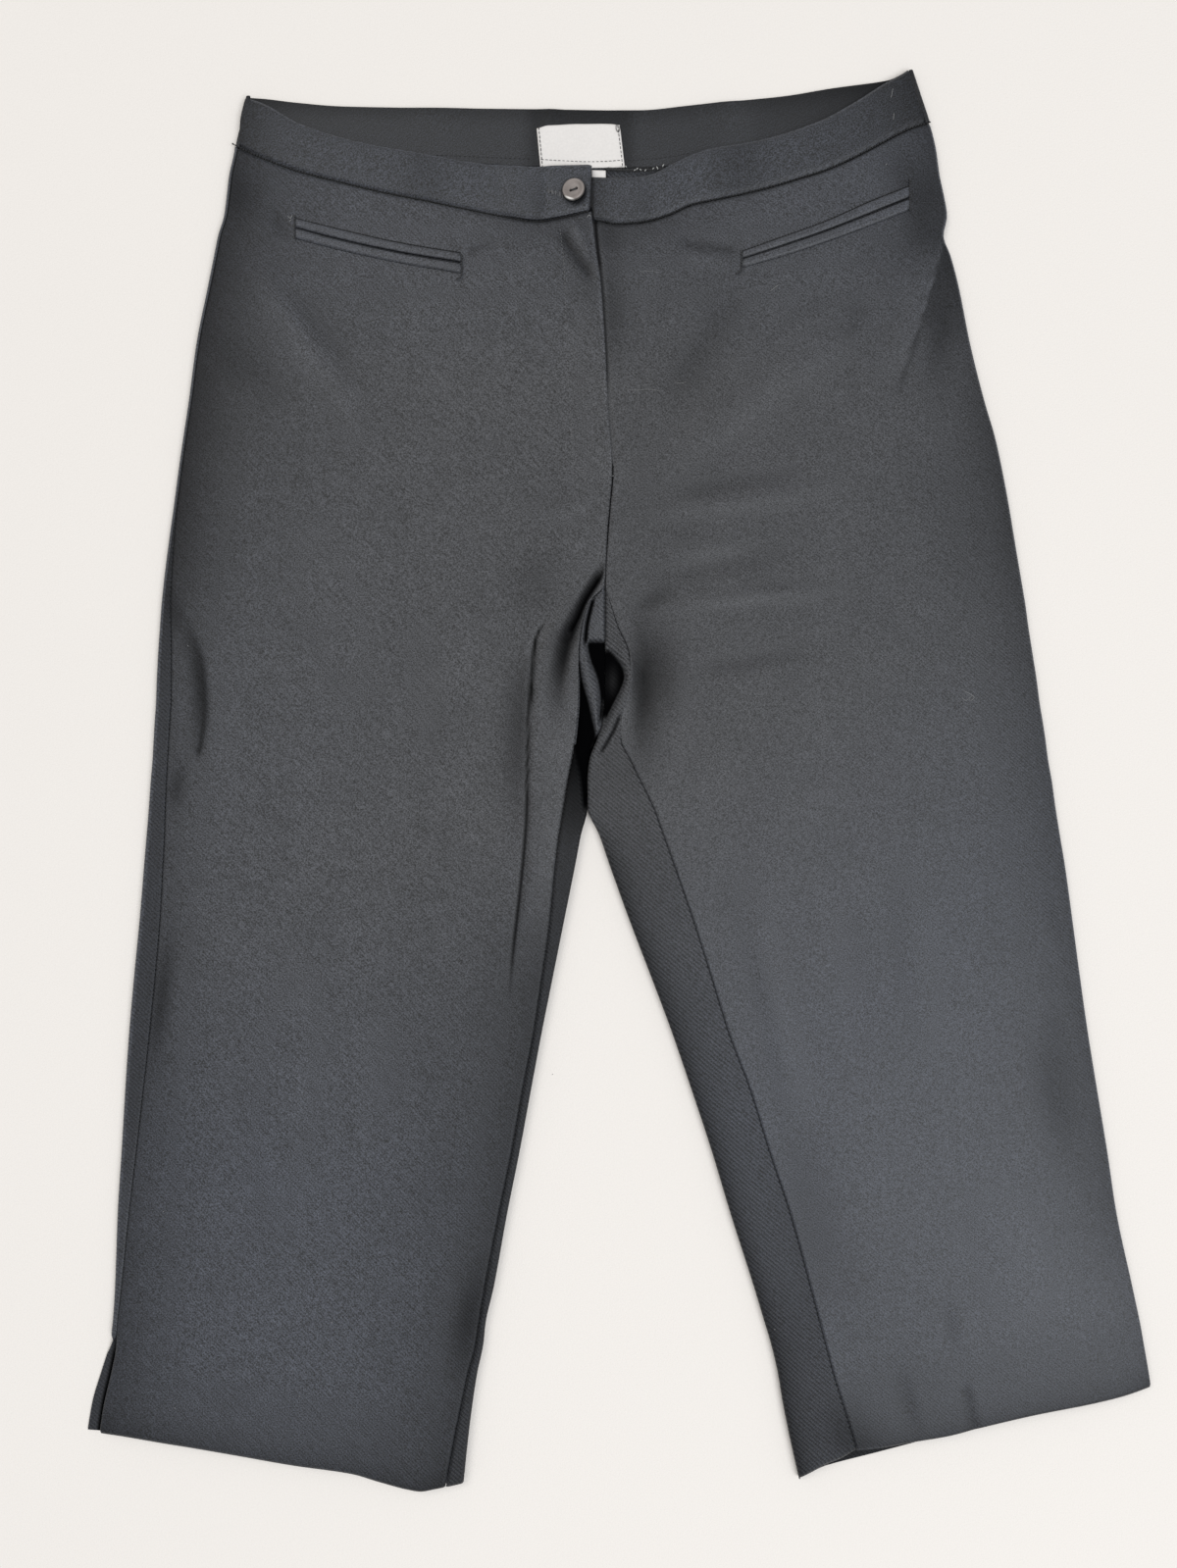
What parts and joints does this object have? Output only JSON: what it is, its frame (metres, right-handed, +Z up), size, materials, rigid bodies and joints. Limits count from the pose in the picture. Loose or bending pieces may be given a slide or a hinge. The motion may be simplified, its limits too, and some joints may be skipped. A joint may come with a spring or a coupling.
{
  "type": "cropped trousers",
  "caption": "Cropped wide-leg twill trousers lying flat, front up, with a shaped waistband, a buttoned fly front, welt pockets and a slit at each side hem.",
  "frame": {"origin": "on the surface the trousers lie on, at the middle of their outline", "axes": "+Z up out of the front, +Y from the hems to the waist, +X towards the wearer's left side"},
  "size_m": [0.6504, 0.8683, 0.0122],
  "materials": {
    "twill_front_right": "black cotton-blend twill, slight sheen",
    "twill_front_left": "black cotton-blend twill, slight sheen",
    "twill_back_right": "black cotton-blend twill, slight sheen",
    "twill_back_left": "black cotton-blend twill, slight sheen",
    "twill_waistband_front_right": "black cotton-blend twill, slight sheen",
    "twill_waistband_front_left": "black cotton-blend twill, slight sheen",
    "twill_waistband_back": "black cotton-blend twill, slight sheen",
    "twill_welt_right_upper": "black cotton-blend twill, slight sheen",
    "twill_welt_right_lower": "black cotton-blend twill, slight sheen",
    "twill_welt_left_upper": "black cotton-blend twill, slight sheen",
    "twill_welt_left_lower": "black cotton-blend twill, slight sheen",
    "zip_black": "black woven tape",
    "label_white": "white woven ribbon, left bare",
    "tab_white": "white woven ribbon, left bare",
    "button_pearl": "dark pearly resin"
  },
  "bodies": {
    "root": {"front_panel_right": "twill_front_right", "front_panel_left": "twill_front_left", "back_panel_right": "twill_back_right", "back_panel_left": "twill_back_left", "waistband_front_right": "twill_waistband_front_right", "waistband_front_left": "twill_waistband_front_left", "waistband_back": "twill_waistband_back", "welt_right_upper": "twill_welt_right_upper", "welt_right_lower": "twill_welt_right_lower", "welt_left_upper": "twill_welt_left_upper", "welt_left_lower": "twill_welt_left_lower", "zip_tape": "zip_black", "label": "label_white", "size_tab": "tab_white", "button": "button_pearl"}
  },
  "joints": []
}
